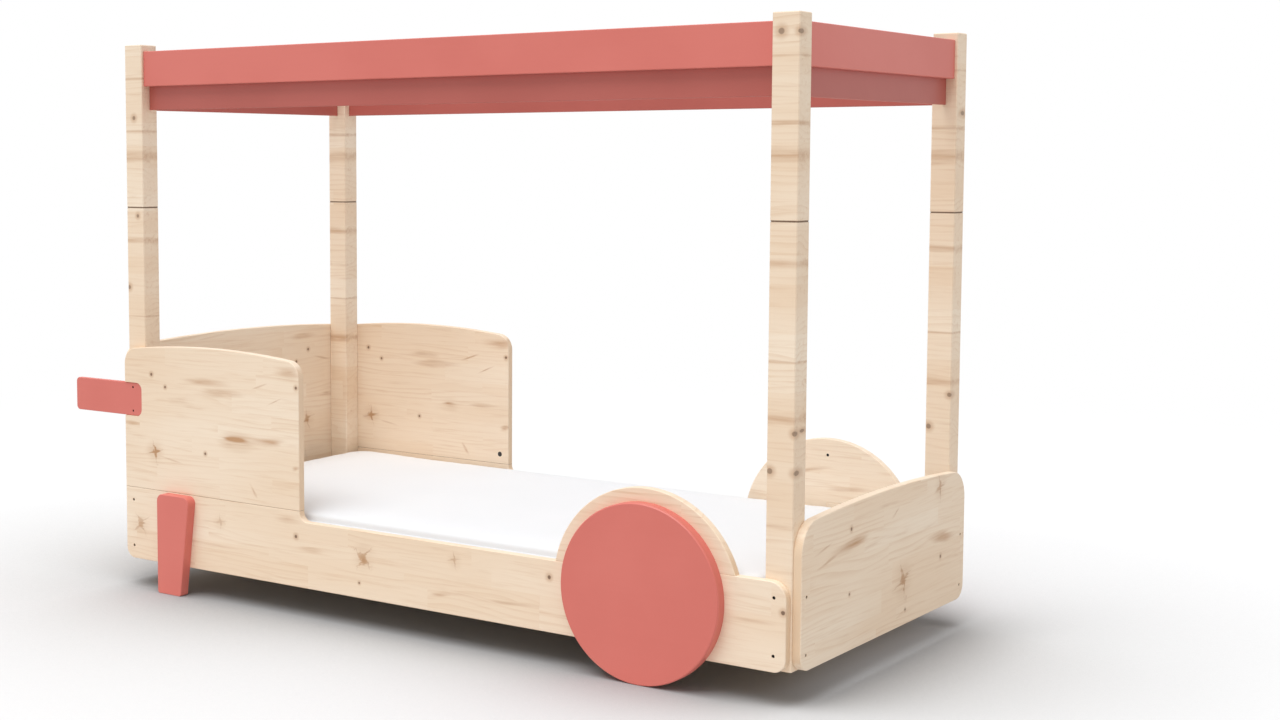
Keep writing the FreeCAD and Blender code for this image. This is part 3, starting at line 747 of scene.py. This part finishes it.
# each cord starts as a plane as large as the pad, whose outline becomes a round cord
cord_radius = 0.0032
for cord_name, cord_z in zip(("mattress_bottom_cord", "mattress_top_cord"), seam_heights):
    bpy.ops.object.select_all(action="DESELECT")
    bpy.ops.mesh.primitive_plane_add(size=2, location=(pad_middle.x, pad_middle.y, cord_z))
    cord = bpy.context.object
    cord.name = cord_name
    cord.scale = (pad_half.x, pad_half.y, 1)
    bpy.ops.object.transform_apply(location=True, rotation=True, scale=True)
    bpy.ops.object.mode_set(mode="EDIT")
    bpy.ops.mesh.select_all(action="SELECT")
    bpy.ops.mesh.bevel(offset=pad_corner, segments=10, affect="VERTICES")
    bpy.ops.mesh.select_mode(type="EDGE")
    picked("edges", lambda middle, way: way.length > 0.5)
    bpy.ops.mesh.subdivide(number_cuts=24)
    bpy.ops.mesh.select_all(action="SELECT")
    bpy.ops.mesh.delete(type="ONLY_FACE")
    bpy.ops.object.mode_set(mode="OBJECT")
    for vertex in cord.data.vertices:
        vertex.co = drawn_in(vertex.co)
    bpy.ops.object.convert(target="CURVE")
    cord = bpy.context.object
    cord.data.bevel_depth = cord_radius
    cord.data.bevel_resolution = 2
    bpy.ops.object.convert(target="MESH")
    cord = bpy.context.object
    bpy.ops.object.shade_smooth()
    cord.data.materials.append(knit)
    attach(cord, "mattress")


# ---- floor and light ----
# A plain white floor that shows the bed's soft shadow, deepened near the bed by painted shade,
# and runs out into a white sky. One broad soft lamp stands high in front of the bed, a little
# towards its head.
bpy.ops.object.select_all(action="DESELECT")
bpy.ops.mesh.primitive_plane_add(size=60, location=(0, 0, 0))
floor = bpy.context.object
floor.name = "floor"
floor_seen = (0.84, 0.845, 0.85, 1)
floor_shaded = (0.36, 0.36, 0.365, 1)
floor_bounce = (0.66, 0.645, 0.63, 1)
shade_reach = 1.3           # how far from the floor the bed still shades it
shade_depth = 1.9
fade = (2.4, 5.0)           # the floor runs out into white over this distance
floor_material, floor_shader, floor_place = new_material(
    "floor", Roughness=0.9, Specular_IOR_Level=0.0
)
camera_ray = floor_place.node("LightPath", output="Is Camera Ray")
# painted shade: the floor's colour for the camera darkens by ambient occlusion where the bed
# stands over it
open_sky = floor_place.node("AmbientOcclusion", {"samples": 16}, {"Distance": shade_reach}, "AO")
floor_with_painted_shade = ((1 - open_sky) * shade_depth).blend(floor_seen, floor_shaded)
connect(floor_shader, Base_Color=camera_ray.blend(floor_bounce, floor_with_painted_shade))
far = floor_place.length().span(*fade) * camera_ray
glow = far.node("Emission", {}, {"Color": (1, 1, 1, 1), "Strength": 1.0})
lit = Wire(floor_material.node_tree, floor_shader.outputs[0])
surface = far.node("MixShader", {}, {0: far, 1: lit, 2: glow})
floor_end = floor_material.node_tree.nodes["Material Output"]
floor_material.node_tree.links.new(surface.socket, floor_end.inputs["Surface"])
floor.data.materials.append(floor_material)

sky_light = 0.60
world = bpy.data.worlds.new("world")
bpy.context.scene.world = world
world.use_nodes = True
sky = Wire(world.node_tree)
background = world.node_tree.nodes["Background"]
seen = sky.node("LightPath", output="Is Camera Ray")
for ray in ("Is Glossy Ray", "Is Transmission Ray"):
    seen = seen.maths("MAXIMUM", sky.node("LightPath", output=ray))
background.inputs["Color"].default_value = (1, 1, 1, 1)
strength = seen * (1 - sky_light) + sky_light
world.node_tree.links.new(strength.socket, background.inputs["Strength"])

lamp_data = bpy.data.lights.new("key", "SUN")
lamp_data.energy = 2.1
lamp_data.angle = math.radians(50)
lamp = bpy.data.objects.new("key", lamp_data)
lamp.location = (-0.5, -1.9, 5.0)
lamp.rotation_euler = (-lamp.location).to_track_quat("-Z", "Y").to_euler()
bpy.context.scene.collection.objects.link(lamp)

# the place, direction and lens that were fitted to the photograph's straight edges
camera_data = bpy.data.cameras.new("camera")
camera_data.lens = 52.9
camera_data.sensor_width = 36
camera_data.shift_x = 0.1303
camera_data.shift_y = -0.0349
camera = bpy.data.objects.new("camera", camera_data)
camera.location = (2.9408, -4.0714, 1.1847)
camera.rotation_euler = Euler((math.pi / 2 - 0.08263, 0, 0.63835))
bpy.context.scene.collection.objects.link(camera)
bpy.context.scene.camera = camera
bpy.context.scene.view_settings.view_transform = "Standard"
